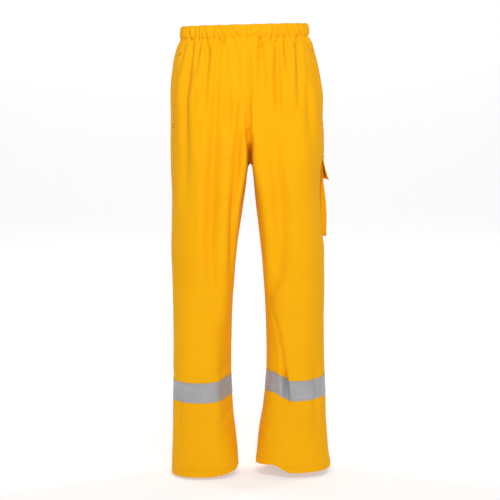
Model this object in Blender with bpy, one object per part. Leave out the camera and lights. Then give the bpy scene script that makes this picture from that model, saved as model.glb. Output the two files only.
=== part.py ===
"""Elastic-waist protective trousers, one closed body for each sewn piece.

Metres. +Z is up, the origin is the middle of the hems, the front faces -Y and
the wearer's left is +X. Every piece follows the outline of one leg tube, which
is cut off at the centre plane above the crotch.
"""
import math

import bmesh
import bpy
import numpy as np
from mathutils import Vector

for old in list(bpy.data.objects):
    bpy.data.objects.remove(old, do_unlink=True)

# ---- heights and sizes, in metres --------------------------------------
CROTCH_Z = 0.775
BAND_Z = 1.087            # where the waistband is sewn on
TOP_Z = 1.118
CLOTH = 0.0018            # thickness of a panel
GAP = 0.00025             # half the gap at a seam between two panels
MIDDLE = Vector((0.00493, 0.00897, 0.0))   # middle of the whole part, seen from above
FRONT_COLUMNS = 12
BACK_COLUMNS = 14
OUTER_POWER_FRONT = 2.3   # roundness of the outline: 2 is an ellipse, more is squarer
OUTER_POWER_BACK = 2.7

# (height, distance): outer and inner side of a leg, and depth before and behind
OUTER = (
    (0.000, 0.1985), (0.050, 0.1950), (0.090, 0.1925), (0.135, 0.1908), (0.185, 0.1905),
    (0.235, 0.1880), (0.285, 0.1885), (0.335, 0.1875), (0.385, 0.1872), (0.435, 0.1880),
    (0.490, 0.1880), (0.545, 0.1883), (0.594, 0.1877), (0.640, 0.1870), (0.690, 0.1865),
    (0.735, 0.1864), (0.775, 0.1866), (0.845, 0.1875), (0.910, 0.1875), (0.945, 0.1868),
    (0.980, 0.1840), (1.015, 0.1800), (1.045, 0.1730), (1.066, 0.1660), (1.087, 0.1590),
)
INNER = (
    (0.000, 0.0235), (0.050, 0.0265), (0.090, 0.0300), (0.135, 0.0365), (0.185, 0.0415),
    (0.235, 0.0452), (0.285, 0.0450), (0.335, 0.0438), (0.385, 0.0425), (0.435, 0.0410),
    (0.490, 0.0372), (0.545, 0.0330), (0.594, 0.0280), (0.640, 0.0215), (0.690, 0.0160),
    (0.735, 0.0095), (0.760, 0.0040), (0.775, 0.0003),
)
FRONT = (
    (0.000, 0.0780), (0.050, 0.0760), (0.135, 0.0750), (0.235, 0.0760), (0.335, 0.0800),
    (0.435, 0.0880), (0.545, 0.0960), (0.640, 0.1020), (0.735, 0.1080), (0.845, 0.1170),
    (0.945, 0.1220), (1.015, 0.1180), (1.066, 0.1080), (1.087, 0.1040),
)
BACK = (
    (0.000, 0.0850), (0.050, 0.0860), (0.135, 0.0890), (0.235, 0.0900), (0.335, 0.0880),
    (0.435, 0.0890), (0.545, 0.0980), (0.640, 0.1120), (0.735, 0.1230), (0.845, 0.1380),
    (0.945, 0.1400), (1.015, 0.1270), (1.066, 0.1120), (1.087, 0.1060),
)
# roundness of the inner half of the outline, at the front and at the back
INNER_POWER_FRONT = ((0.0, 2.3), (0.335, 2.5), (0.640, 2.9), (0.775, 3.4), (0.900, 3.0), (1.087, 2.3))
INNER_POWER_BACK = ((0.0, 2.5), (0.640, 2.8), (0.775, 3.0), (0.900, 2.8), (1.087, 2.5))
# how far the tube's own centre lies outwards, as a share of its half width
CENTRE_SHARE = ((0.775, 1.0), (0.845, 0.76), (0.945, 0.44), (1.045, 0.12), (1.087, 0.0))
# how far round to the front the outer side seam runs
SIDE_SEAM = ((0.000, 0.000), (0.545, 0.004), (0.775, 0.018), (0.875, 0.046), (1.045, 0.053), (1.087, 0.050))

ROWS = (
    0.000, 0.050, 0.090, 0.135, 0.193, 0.243, 0.285, 0.335, 0.385, 0.435, 0.490, 0.545,
    0.594, 0.640, 0.690, 0.735, 0.760, 0.775, 0.785, 0.800, 0.820, 0.845, 0.875, 0.910,
    0.945, 0.980, 1.015, 1.045, 1.066, 1.087,
)

# the open slit in each side seam
SLIT_BOTTOM = 0.875
SLIT_TOP = 1.045
SLIT_GAPE = 0.0090
BAG_MOUTH = 0.0110        # how far in front of the seam a pocket bag starts
BAG_REACH = 0.110
BAG_FRONT_WALL = 0.0036   # depth of its two walls under the panel's face
BAG_REAR_WALL = 0.0240
BAG_SKIN = 0.0012

TAPE_ROWS = (0.193, 0.243)

# the cargo pocket on the wearer's left thigh
POCKET_START = 0.004      # behind the side seam
POCKET_WIDTH = 0.140
POCKET_ROWS = (0.594, 0.640, 0.690, 0.735, 0.775)
POCKET_DEPTH = ((0.594, 0.0108), (0.640, 0.0100), (0.690, 0.0082), (0.735, 0.0054), (0.775, 0.0034))
POCKET_CLOTH = 0.0014
FLAP_HINGE_Z = 0.791
FLAP_LENGTH = 0.060
FLAP_SLOPE = math.radians(19)
FLAP_STAND_OFF = 0.0008
PATCH_WIDTH = 0.026

COLOURS = {
    "yellow_cloth": ((0.90, 0.42, 0.01), 0.9),
    "waistband_cloth": ((0.88, 0.41, 0.01), 0.9),
    "facing_cloth": ((0.82, 0.36, 0.03), 0.9),
    "bag_cloth": ((0.62, 0.50, 0.28), 0.9),
    "elastic": ((0.75, 0.73, 0.68), 0.9),
    "reflective_tape": ((0.40, 0.40, 0.41), 0.45),
    "bartack_thread": ((0.72, 0.30, 0.01), 0.9),
    "hook_tape": ((0.55, 0.33, 0.03), 0.9),
    "loop_tape": ((0.60, 0.36, 0.04), 0.9),
}


# ---- the outline of one leg tube ---------------------------------------
def at(table, z):
    """Value of a (height, value) table at height z."""
    heights, values = zip(*table)
    return float(np.interp(z, heights, values))


def half_outline(centre, half_width, depth, powers, above_crotch):
    """Points from the outer side round to the centre plane or the inseam."""
    outer_power, inner_power = powers
    end = math.pi - math.asin((GAP / depth) ** (inner_power / 2))
    if above_crotch:
        reach = (GAP - centre) / half_width
        power = inner_power if reach < 0 else outer_power
        end = min(end, math.acos(max(-1.0, math.copysign(abs(reach) ** (power / 2), reach))))
    angle = np.linspace(0.0, end, 240)
    power = np.where(angle < math.pi / 2, outer_power, inner_power)
    cos, sin = np.cos(angle), np.abs(np.sin(angle))
    x = centre + half_width * np.sign(cos) * np.abs(cos) ** (2 / power)
    return x, depth * sin ** (2 / power)


class Outline:
    """A leg tube at one height: s runs from the front, through 0 at the outer side, to the back."""

    def __init__(self, z):
        outer = at(OUTER, z)
        above = z > CROTCH_Z
        if above:
            half_width = outer / (1 + at(CENTRE_SHARE, z))
        else:
            half_width = (outer - at(INNER, z)) / 2
        centre = outer - half_width
        front_powers = (OUTER_POWER_FRONT, at(INNER_POWER_FRONT, z))
        back_powers = (OUTER_POWER_BACK, at(INNER_POWER_BACK, z))
        front_x, front_y = half_outline(centre, half_width, at(FRONT, z), front_powers, above)
        back_x, back_y = half_outline(centre, half_width, at(BACK, z), back_powers, above)
        self.z = z
        self.x = np.concatenate([front_x[::-1], back_x[1:]])
        self.y = np.concatenate([-front_y[::-1], back_y[1:]])
        steps = np.hypot(np.diff(self.x), np.diff(self.y))
        self.s = np.concatenate([[0.0], np.cumsum(steps)])
        self.s -= self.s[len(front_x) - 1]
        self.normal_x = np.gradient(self.y, self.s)
        self.normal_y = -np.gradient(self.x, self.s)
        self.front_end = self.s[0]
        self.back_end = self.s[-1]
        self.seam = -at(SIDE_SEAM, z)

    def point(self, side, s, out=0.0):
        """World point at s along the outline and `out` outside it; side is +1 for the wearer's left."""
        nx = np.interp(s, self.s, self.normal_x)
        ny = np.interp(s, self.s, self.normal_y)
        size = math.hypot(nx, ny)
        x = np.interp(s, self.s, self.x) + out * nx / size
        y = np.interp(s, self.s, self.y) + out * ny / size
        return (side * float(x), float(y), self.z)


# ---- meshes ------------------------------------------------------------
def new_object(name, vertices, faces, cloth, origin=(0, 0, 0)):
    """Make one closed body whose origin is `origin`, moved so that the part is centred in plan."""
    mesh = bpy.data.meshes.new(name)
    shifted = [tuple(Vector(v) - Vector(origin)) for v in vertices]
    mesh.from_pydata(shifted, [], faces)
    bm = bmesh.new()
    bm.from_mesh(mesh)
    bmesh.ops.recalc_face_normals(bm, faces=bm.faces)
    bm.to_mesh(mesh)
    bm.free()
    obj = bpy.data.objects.new(name, mesh)
    obj.location = Vector(origin) - MIDDLE
    bpy.context.scene.collection.objects.link(obj)
    colour, roughness = COLOURS[cloth]
    material = bpy.data.materials.new(name)
    material.use_nodes = True
    shader = material.node_tree.nodes["Principled BSDF"]
    shader.inputs["Base Color"].default_value = (*colour, 1.0)
    shader.inputs["Roughness"].default_value = roughness
    obj.data.materials.append(material)
    return obj


def slab(name, outer, inner, cloth, origin=(0, 0, 0)):
    """A sheet between two grids of the same size, closed round its four edges."""
    rows, columns = len(outer), len(outer[0])
    vertices = [p for row in outer for p in row] + [p for row in inner for p in row]
    shift = rows * columns

    def v(row, column, layer):
        return layer * shift + row * columns + column

    faces = []
    for r in range(rows - 1):
        for c in range(columns - 1):
            faces.append((v(r, c, 0), v(r, c + 1, 0), v(r + 1, c + 1, 0), v(r + 1, c, 0)))
            faces.append((v(r, c, 1), v(r + 1, c, 1), v(r + 1, c + 1, 1), v(r, c + 1, 1)))
    for c in range(columns - 1):
        for r in (0, rows - 1):
            faces.append((v(r, c, 0), v(r, c + 1, 0), v(r, c + 1, 1), v(r, c, 1)))
    for r in range(rows - 1):
        for c in (0, columns - 1):
            faces.append((v(r, c, 0), v(r + 1, c, 0), v(r + 1, c, 1), v(r, c, 1)))
    return new_object(name, vertices, faces, cloth, origin)


def ring(name, loops, cloth):
    """A band closed round the body: each loop joins the next, and the last joins the first."""
    count = len(loops[0])
    vertices = [p for loop in loops for p in loop]
    faces = []
    for k in range(len(loops)):
        after = (k + 1) % len(loops)
        for i in range(count):
            j = (i + 1) % count
            faces.append((k * count + i, k * count + j, after * count + j, after * count + i))
    return new_object(name, vertices, faces, cloth)


def pouch(name, outer, inner, cloth):
    """A bag open at its first ring. Each ring runs up one wall and down the other."""
    count = len(outer[0])
    rings = outer + inner
    vertices = [p for one in rings for p in one]
    faces = []

    def bridge(a, b):
        for i in range(count):
            j = (i + 1) % count
            faces.append((a * count + i, a * count + j, b * count + j, b * count + i))

    for k in range(len(outer) - 1):
        bridge(k, k + 1)
    for k in range(len(outer), len(rings) - 1):
        bridge(k, k + 1)
    bridge(0, len(outer))
    for last in (len(outer) - 1, len(rings) - 1):
        base = last * count
        for i in range(count // 2 - 1):
            faces.append((base + i, base + i + 1, base + count - 2 - i, base + count - 1 - i))
    return new_object(name, vertices, faces, cloth)


# ---- the leg panels ----------------------------------------------------
def slit_gape(z):
    """How far the front panel's edge stands back from the seam in the side slit."""
    if not SLIT_BOTTOM < z < SLIT_TOP:
        return 0.0
    return SLIT_GAPE * math.sin(math.pi * (z - SLIT_BOTTOM) / (SLIT_TOP - SLIT_BOTTOM))


def front_places(line):
    return np.linspace(line.front_end, line.seam - GAP - slit_gape(line.z), FRONT_COLUMNS + 1)


def back_places(line):
    return np.linspace(line.seam + GAP, line.back_end, BACK_COLUMNS + 1)


def panel(name, side, places):
    outer, inner = [], []
    for z in ROWS:
        line = Outline(z)
        outer.append([line.point(side, s) for s in places(line)])
        inner.append([line.point(side, s, -CLOTH) for s in places(line)])
    slab(name, outer, inner, "yellow_cloth")


# ---- the waist ---------------------------------------------------------
def waist_loop(z, out):
    """A closed loop right round the waist at height z."""
    line = Outline(BAND_Z)
    places = np.linspace(line.front_end, line.back_end, 25)
    left = [line.point(1, s, out) for s in places]
    left[0] = (0.0, left[0][1], z)
    left[-1] = (0.0, left[-1][1], z)
    left = [(x, y, z) for x, y, _ in left]
    return left + [(-x, y, z) for x, y, _ in reversed(left[1:-1])]


def waistband():
    """Casing: an upturned channel round the waist, open below, with the elastic inside it."""
    bottom = BAND_Z + 0.0005
    channel_top = TOP_Z - 0.0022
    loops = [
        (bottom, 0.0), (1.100, 0.0012), (TOP_Z - 0.002, -0.0004), (TOP_Z, -0.0024),
        (TOP_Z, -0.0036), (TOP_Z - 0.002, -0.0056), (1.100, -0.0064), (bottom, -0.0060),
        (bottom, -0.0046), (1.100, -0.0050), (channel_top, -0.0044),
        (channel_top, -0.0018), (1.100, -0.0006), (bottom, -0.0016),
    ]
    ring("waistband_casing", [waist_loop(z, out) for z, out in loops], "waistband_cloth")
    band = [(1.0895, -0.0022), (1.100, -0.0014), (1.1135, -0.0022), (1.1135, -0.0038),
            (1.100, -0.0044), (1.0895, -0.0042)]
    ring("waist_elastic", [waist_loop(z, out) for z, out in band], "elastic")


# ---- pieces at the side slits ------------------------------------------
def opening_facing(name, side):
    """A strip behind the slit's back edge, inside the panel."""
    rows = [0.868, 0.910, 0.945, 0.980, 1.015, 1.052]
    outer, inner = [], []
    for z in rows:
        line = Outline(z)
        places = np.linspace(line.seam + 0.001, line.seam + 0.026, 4)
        outer.append([line.point(side, s, -0.0034) for s in places])
        inner.append([line.point(side, s, -0.0046) for s in places])
    slab(name, outer, inner, "facing_cloth")


def bag_ring(side, reach, inset):
    """One ring of a pocket bag, `reach` in front of the side seam and `inset` inside its skin."""
    drop = 0.045 * (reach / BAG_REACH)
    heights = np.linspace(0.868 - drop + inset, 1.050 - 0.4 * drop - inset, 7)
    walls = []
    for out in (-BAG_FRONT_WALL - inset, -BAG_REAR_WALL + inset):
        wall = []
        for z in heights:
            line = Outline(float(z))
            wall.append(line.point(side, line.seam - BAG_MOUTH - reach, out))
        walls.append(wall)
    return walls[0] + walls[1][::-1]


def pocket_bag(name, side):
    outer = [bag_ring(side, reach, 0.0) for reach in np.linspace(0.0, BAG_REACH, 6)]
    inner = [bag_ring(side, reach, BAG_SKIN) for reach in np.linspace(0.0, BAG_REACH - BAG_SKIN, 6)]
    pouch(name, outer, inner, "bag_cloth")


def bartack(name, side, z, length, slant=0.0):
    """A short dense row of stitches across the end of a slit."""
    outer, inner = [], []
    for height in (z - 0.0011, z + 0.0011):
        high, low = [], []
        for share in (-0.5, 0.0, 0.5):
            line = Outline(height + slant * share)
            s = line.seam + share * length
            high.append(line.point(side, s, 0.0014))
            low.append(line.point(side, s, 0.0004))
        outer.append(high)
        inner.append(low)
    slab(name, outer, inner, "bartack_thread")


# ---- reflective tape ---------------------------------------------------
def tape(name, side):
    loops = []
    for z, out in ((TAPE_ROWS[0], 0.0005), (TAPE_ROWS[0], 0.0013), (TAPE_ROWS[1], 0.0013), (TAPE_ROWS[1], 0.0005)):
        line = Outline(z)
        places = list(front_places(line)[1:-1]) + [line.seam] + list(back_places(line)[1:-1])
        loop = [line.point(side, s, out) for s in places]
        inseam = line.point(side, line.front_end, out)
        loop.append((inseam[0], 0.0, z))
        loops.append(loop)
    ring(name, loops, "reflective_tape")


# ---- the cargo pocket, on the wearer's left thigh ----------------------
def pocket_edges(line):
    start = line.seam + POCKET_START
    return start, start + POCKET_WIDTH


def pocket_frame():
    """Middle of the pocket in plan, the direction along it, and the direction away from the leg."""
    line = Outline(0.785)
    start, end = pocket_edges(line)
    a, b = Vector(line.point(1, start)), Vector(line.point(1, end))
    along = (b - a).normalized()
    out = Vector((along.y, -along.x, 0.0))
    middle = (a + b) / 2
    bulge = max((Vector(line.point(1, s)) - middle).dot(out) for s in np.linspace(start, end, 60))
    return middle + out * bulge, along, out


POCKET_MIDDLE, POCKET_ALONG, POCKET_OUT = pocket_frame()
FLAP_PIVOT = POCKET_MIDDLE + POCKET_OUT * 0.0022
FLAP_PIVOT.z = FLAP_HINGE_Z
MOUTH_PIVOT = POCKET_MIDDLE + POCKET_OUT * 0.0033
MOUTH_PIVOT.z = POCKET_ROWS[-1]


def pocket_face():
    outer, inner = [], []
    for z in POCKET_ROWS:
        line = Outline(z)
        places = np.linspace(*pocket_edges(line), 11)
        depth = at(POCKET_DEPTH, z)
        outer.append([line.point(1, s, depth + POCKET_CLOTH) for s in places])
        inner.append([line.point(1, s, depth) for s in places])
    slab("cargo_pocket_face", outer, inner, "yellow_cloth", tuple(MOUTH_PIVOT))


def pocket_bellows():
    """The folding side wall: down the front edge, along the bottom and up the back edge."""
    wall = 0.0016
    bottom = POCKET_ROWS[0]
    path = [("start", z) for z in reversed(POCKET_ROWS[1:])]
    path += [(share, bottom) for share in np.linspace(0.0, 1.0, 11)]
    path += [("end", z) for z in POCKET_ROWS[1:]]
    stations = []
    for where, z in path:
        if where == "start":
            share, z_inner, turn = 0.0, z, 1
        elif where == "end":
            share, z_inner, turn = 1.0, z, -1
        else:
            share, z_inner = where, bottom + wall
            turn = {0.0: 1, 1.0: -1}.get(float(where), 0)
        station = []
        for height, shift in ((z, 0.0), (z_inner, wall * turn)):
            line = Outline(height)
            start, end = pocket_edges(line)
            s = start + share * (end - start) + shift
            station.append((line, s, at(POCKET_DEPTH, height) - 0.0004))
        (outer_line, outer_s, outer_high), (inner_line, inner_s, inner_high) = station
        stations.append([
            outer_line.point(1, outer_s, 0.0005), outer_line.point(1, outer_s, outer_high),
            inner_line.point(1, inner_s, inner_high), inner_line.point(1, inner_s, 0.0005),
        ])
    vertices = [p for station in stations for p in station]
    faces = []
    for k in range(len(stations) - 1):
        for i in range(4):
            j = (i + 1) % 4
            faces.append((4 * k + i, 4 * k + j, 4 * k + 4 + j, 4 * k + 4 + i))
    last = 4 * (len(stations) - 1)
    faces.append((0, 1, 2, 3))
    faces.append((last, last + 1, last + 2, last + 3))
    new_object("cargo_pocket_bellows", vertices, faces, "yellow_cloth")


def flap_point(share, down, lift):
    """A point of the flap: share across it, `down` from its hinge, `lift` off its underside."""
    z = FLAP_HINGE_Z - down * math.cos(FLAP_SLOPE)
    line = Outline(z)
    start, end = pocket_edges(line)
    s = start - 0.003 + share * (end - start + 0.006)
    return line.point(1, s, FLAP_STAND_OFF + down * math.sin(FLAP_SLOPE) + lift)


def cargo_flap():
    downs = (0.0, 0.018, 0.038, FLAP_LENGTH)
    shares = np.linspace(0.0, 1.0, 11)
    outer = [[flap_point(share, down, 0.0016) for share in shares] for down in downs]
    inner = [[flap_point(share, down, 0.0) for share in shares] for down in downs]
    slab("cargo_flap", outer, inner, "yellow_cloth", tuple(FLAP_PIVOT))


def fasteners():
    """Two hook patches under the flap and two loop patches on the pocket."""
    half = PATCH_WIDTH / 2 / POCKET_WIDTH
    for name, share in (("front", 0.2), ("rear", 0.8)):
        shares = (share - half, share, share + half)
        outer = [[flap_point(s, down, -0.0004) for s in shares] for down in (0.034, 0.052)]
        inner = [[flap_point(s, down, -0.0016) for s in shares] for down in (0.034, 0.052)]
        slab(name + "_hook_patch", outer, inner, "hook_tape", tuple(FLAP_PIVOT))
        outer, inner = [], []
        for z in (0.730, 0.749):
            line = Outline(z)
            start, end = pocket_edges(line)
            depth = at(POCKET_DEPTH, z) + POCKET_CLOTH
            places = [start + s * (end - start) for s in shares]
            outer.append([line.point(1, s, depth + 0.0020) for s in places])
            inner.append([line.point(1, s, depth + 0.0006) for s in places])
        slab(name + "_loop_patch", outer, inner, "loop_tape", tuple(MOUTH_PIVOT))


for side_name, side_sign in (("left", 1), ("right", -1)):
    panel(side_name + "_front_panel", side_sign, front_places)
    panel(side_name + "_back_panel", side_sign, back_places)
    opening_facing(side_name + "_opening_facing", side_sign)
    pocket_bag(side_name + "_pocket_bag", side_sign)
    tape(side_name + "_reflective_tape", side_sign)
    bartack(side_name + "_upper_bartack", side_sign, 1.051, 0.013, slant=0.003)
    bartack(side_name + "_lower_bartack", side_sign, 0.869, 0.013, slant=0.002)
waistband()
pocket_face()
pocket_bellows()
cargo_flap()
fasteners()
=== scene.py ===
"""Looks for the elastic-waist protective trousers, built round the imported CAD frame.

Metres, in the frame's own axes: +Z up, the front faces -Y, the wearer's left is +X, and side
is 1 for the wearer's left leg and -1 for the right. Every cloth piece is laid on one surface:
a Row is the outline of one leg at one height, s runs round it from the front edge, through 0
at the outer side, to the back edge, and out is the distance outside the plain outline.
"""
import math

import bpy
import numpy as np
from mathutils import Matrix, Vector


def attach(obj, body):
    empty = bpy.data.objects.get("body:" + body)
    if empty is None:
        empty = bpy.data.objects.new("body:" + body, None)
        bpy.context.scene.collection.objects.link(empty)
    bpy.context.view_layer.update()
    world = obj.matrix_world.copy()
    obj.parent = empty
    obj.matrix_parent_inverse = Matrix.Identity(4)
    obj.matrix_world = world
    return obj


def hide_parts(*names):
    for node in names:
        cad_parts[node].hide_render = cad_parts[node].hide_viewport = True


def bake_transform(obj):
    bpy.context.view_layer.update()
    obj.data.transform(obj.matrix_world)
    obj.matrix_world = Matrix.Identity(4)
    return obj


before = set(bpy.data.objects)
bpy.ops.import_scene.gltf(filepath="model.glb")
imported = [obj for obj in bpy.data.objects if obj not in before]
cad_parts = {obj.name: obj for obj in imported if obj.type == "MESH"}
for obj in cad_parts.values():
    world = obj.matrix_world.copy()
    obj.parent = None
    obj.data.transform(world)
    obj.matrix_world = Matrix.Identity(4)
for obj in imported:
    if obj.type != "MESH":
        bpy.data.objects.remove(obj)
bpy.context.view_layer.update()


def mm(*rows):
    """Rows of millimetres, as rows of metres."""
    return tuple(tuple(value / 1000 for value in row) for row in rows)


# ---- sizes shared with the CAD model: tables are (height, value) -------------------------
CROTCH_Z, BAND_Z, TOP_Z = 0.775, 1.087, 1.118
MIDDLE_X, MIDDLE_Y = 0.00493, 0.00897
OUTER_POWER_FRONT, OUTER_POWER_BACK = 2.3, 2.7
OUTER = mm((0, 198.5), (50, 195), (90, 192.5), (135, 190.8), (185, 190.5), (235, 188), (285, 188.5),
    (335, 187.5), (385, 187.2), (435, 188), (490, 188), (545, 188.3), (594, 187.7), (640, 187),
    (690, 186.5), (735, 186.4), (775, 186.6), (845, 187.5), (910, 187.5), (945, 186.8), (980, 184),
    (1015, 180), (1045, 173), (1066, 166), (1087, 159))
INNER = mm((0, 23.5), (50, 26.5), (90, 30), (135, 36.5), (185, 41.5), (235, 45.2), (285, 45),
    (335, 43.8), (385, 42.5), (435, 41), (490, 37.2), (545, 33), (594, 28), (640, 21.5), (690, 16),
    (735, 10.5), (757, 8.4), (767, 7.6), (773, 6.4), (777, 0.2), (845, -25.6), (945, -72.6),
    (1045, -136), (1087, -159))
FRONT = mm((0, 78), (50, 76), (135, 75), (235, 76), (335, 80), (435, 88), (545, 96), (640, 102),
    (735, 108), (845, 117), (945, 122), (1015, 118), (1066, 108), (1087, 104))
BACK = mm((0, 85), (50, 86), (135, 89), (235, 90), (335, 88), (435, 89), (545, 98), (640, 112),
    (735, 123), (845, 138), (945, 140), (1015, 127), (1066, 112), (1087, 106))
INNER_POWER_FRONT = ((0, 2.3), (0.335, 2.6), (0.6, 3.4), (0.7, 5), (0.75, 8.5), (0.78, 13), (0.845, 15),
    (0.89, 8), (0.94, 4), (1.087, 2.3))
INNER_POWER_BACK = ((0, 2.5), (0.64, 2.8), (0.775, 3), (0.9, 2.8), (1.087, 2.5))
SIDE_SEAM = mm((0, 0), (545, 4), (775, 18), (875, 46), (1045, 53), (1087, 50))
SLIT_BOTTOM, SLIT_TOP = 0.875, 1.045
POCKET_START, POCKET_WIDTH = 0.004, 0.140
POCKET_BOTTOM, POCKET_MOUTH = 0.594, 0.775
POCKET_DEPTH = mm((594, 8.6), (640, 10), (690, 10.4), (735, 4), (775, 1.8))
FLAP_HINGE_Z, FLAP_LENGTH = 0.791, 0.060
FLAP_MARGIN = 0.003       # the flap is this much wider than the pocket at each side
FLAP_WIDTH = POCKET_WIDTH + 2 * FLAP_MARGIN
FLAP_CORNER = 0.012
FLAP_SLOPE = math.radians(16.8)
TAPE_LOW, TAPE_HIGH = 0.193, 0.243
HALF_WAIST = 0.155        # half the waist's width
HALF_WAIST_GIRTH = 0.221  # round the back half of one side

# ---- how the worn cloth differs from the plain shared sizes ------------------------------
# On the front the legs part higher than the crotch seam: half width of the cleft between
# them, and how deep it runs before the seam closes it.
CLEFT_START, CLEFT_TOP = 0.730, 0.890
CLEFT = mm((700, 15), (735, 10.7), (757, 7.8), (775, 6), (800, 5.5), (825, 5.3), (843, 4.8), (853, 3),
    (862, -3), (880, -20), (910, -44), (945, -72.6), (1045, -136), (1087, -159))
CLEFT_DEPTH = mm((776.5, 0), (780, 10), (790, 28), (805, 52), (820, 78), (835, 98), (850, 108),
    (862, 113), (890, 115))
# How far the front falls back at the centre, above where the legs part: steeply on the
# wearer's left, over a few centimetres on the right.
CENTRE_RECESS = mm((820, 0), (838, 4), (852, 10), (870, 14), (895, 12), (920, 8.5), (945, 4), (968, 0),
    (1087, 0))
# the centre line wanders sideways, and the two sides bulge by different amounts
CENTRE_DRIFT = mm((0, -7.5), (80, -8), (180, -3), (300, 0), (440, 2), (580, 5), (640, 6.5), (775, 10),
    (870, 9.5), (950, 5.5), (1087, 0))
LEFT_BULGE = mm((0, 0), (575, 0), (605, -3.6), (740, -4.2), (770, -3), (795, 2), (810, 3.5), (860, 3),
    (885, 0.8), (940, 4.5), (990, 1), (1050, -1), (1087, 0))
RIGHT_BULGE = mm((0, 0), (550, 0), (700, -2.5), (900, -3), (980, -2), (1030, -1), (1087, 0))
# how far round to the front each slit is moved from the CAD seam
LEFT_SEAM_SHIFT = mm((0, 0), (700, 0), (875, 12), (950, 4), (1000, 7), (1055, 13), (1087, 11))
RIGHT_SEAM_SHIFT = mm((0, 0), (700, 0), (775, -6), (875, -22), (980, -26), (1045, -8), (1087, -4))
# how far the lower leg, and again the hem, is lifted at its outer, front, inner and back side
LIFT = {1: (0.009, 0.002, 0.0, 0.0), -1: (0.002, 0.000, 0.010, 0.0)}
HEM_LIFT = {1: (0.0080, 0.0115, 0.0070, 0.002), -1: (0.0030, 0.0065, 0.0105, 0.0)}
HEM_LIFT_TOP = 0.17
LIFT_FULL_Z, LIFT_NONE_Z = 0.28, 0.56
CALF_STEP = 0.022         # the inner front of the left calf is pulled up this much more
WAIST_PINCH = 0.0042      # the elastic draws the waist in this much at each side
WAIST_TILT = 0.0020       # the waist sits this much higher at the wearer's left

CLOTH = 0.0011            # thickness of the visual cloth
HEM_HEIGHT = 0.0155
COARSE = 1.0
PANEL_ROW, PANEL_STEP, FINE_STEP = 0.0042 * COARSE, 0.0032 * COARSE, 0.0018 * COARSE
PANEL_COLUMNS = int(163 / COARSE)
WALL_COLUMNS = 0.22       # share of a front panel's columns that lies on the inner wall

# folds that run down the cloth of each leg: knots of (height, x, depth, width), top to bottom
FOLDS = {
    -1: (
        mm((1085, -49, 2.6, 6), (1045, -47, 3, 7), (985, -43, 3.4, 10), (880, -44, 3, 13),
           (800, -45, 0, 14)),
        mm((1085, -60, 2.4, 5), (1045, -64, 3, 6), (986, -69, 3.6, 8), (866, -74, 4.2, 12),
           (746, -83, 4.6, 13), (600, -90, 5.6, 13), (503, -88, 5, 15), (375, -80, 1, 20),
           (320, -78, 0, 20)),
        mm((1085, -93, 3, 5), (1045, -90, 3.4, 6), (1000, -94, 2.8, 7), (940, -96, 1.8, 8),
           (880, -98, 0, 10)),
        mm((1085, -106, 2.8, 4), (1055, -112, 2.6, 5), (1020, -118, 1.6, 6), (985, -120, 0, 8)),
        mm((1085, -124, 3, 5), (1040, -131, 3.2, 6), (1000, -138, 3.4, 7), (940, -146, 3, 9),
           (867, -147, 2.6, 11), (700, -149, 1.2, 16), (600, -149, 0, 18)),
        mm((1085, -139, 2.4, 4), (1050, -150, 2.2, 5), (1015, -158, 0, 6)),
        mm((950, -12, 0, 6), (900, -15, 2.6, 7), (855, -18, 4.2, 8), (793, -23, 4.2, 9),
           (697, -30, 4.2, 9), (560, -39, 2.8, 10), (460, -46, 0, 14)),
        mm((1085, -28, 1.6, 5), (1045, -23, 2.2, 6), (985, -18, 2.4, 8), (920, -14, 0, 10)),
        mm((300, -178, 0, 10), (210, -174, 1.4, 8), (120, -176, 1.2, 10), (40, -180, 0, 10)),
    ),
    1: (
        mm((1085, 38, 2.6, 6), (1045, 40, 2.6, 6), (985, 40, 1.8, 8), (930, 42, 0, 12)),
        mm((1085, 78, 3.6, 5), (1045, 79, 4, 6), (984, 79, 3.8, 8), (930, 79, 3, 9), (870, 80, 0, 12)),
        mm((1085, 97, 3.4, 5), (1045, 100, 3.6, 6), (1010, 102, 2.6, 7), (965, 106, 0, 9)),
        mm((1085, 125, 2.6, 5), (1045, 129, 3.4, 5), (1000, 130, 3, 7), (935, 130, 1.8, 9),
           (900, 130, 0, 10)),
        mm((1010, 142, 0, 10), (960, 150, 1.8, 12), (863, 156, 1.6, 14), (800, 158, 0, 16)),
        mm((1085, 4, 1.4, 5), (1040, 6, 2.2, 6), (940, 7, 2.4, 8), (880, 8, 0, 10)),
        mm((900, 60, 0, 14), (830, 67, 2.6, 16), (695, 77, 4.8, 18), (598, 79, 5.8, 18),
           (510, 72, 5.2, 18), (448, 54, 1.8, 14), (400, 44, 0, 12)),
        mm((470, 42, 0, 8), (418, 53, 0.8, 8), (345, 71, 1, 8), (275, 83, 1.8, 8), (250, 86, 7.8, 7),
           (220, 89.5, 8.4, 7), (195, 91, 5, 8), (160, 93, 0, 12)),
        mm((330, 168, 0, 12), (218, 164, 2.4, 9), (120, 166, 1.6, 12), (50, 170, 0, 14)),
    ),
}
# Where the cloth between a crease and the inseam lies further back: (height, x, depth, width)
# on the wearer's right; on the left it slopes away from the crease: (height, x, slope, width)
STEPS = {
    -1: ((0.48, -0.066, 0, 0.02), (0.36, -0.068, 0.005, 0.018), (0.26, -0.07, 0.008, 0.015),
        (0.19, -0.068, 0.0075, 0.015), (0.11, -0.066, 0.0045, 0.018), (0.05, -0.066, 0, 0.02)),
    1: ((0.47, 0.052, 0, 0.006), (0.418, 0.064, 0.22, 0.006), (0.345, 0.084, 0.36, 0.006),
        (0.28, 0.096, 0.34, 0.006), (0.25, 0.099, 0.16, 0.006), (0.22, 0.101, 0.08, 0.006),
        (0.18, 0.103, 0, 0.006)),
}
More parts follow.
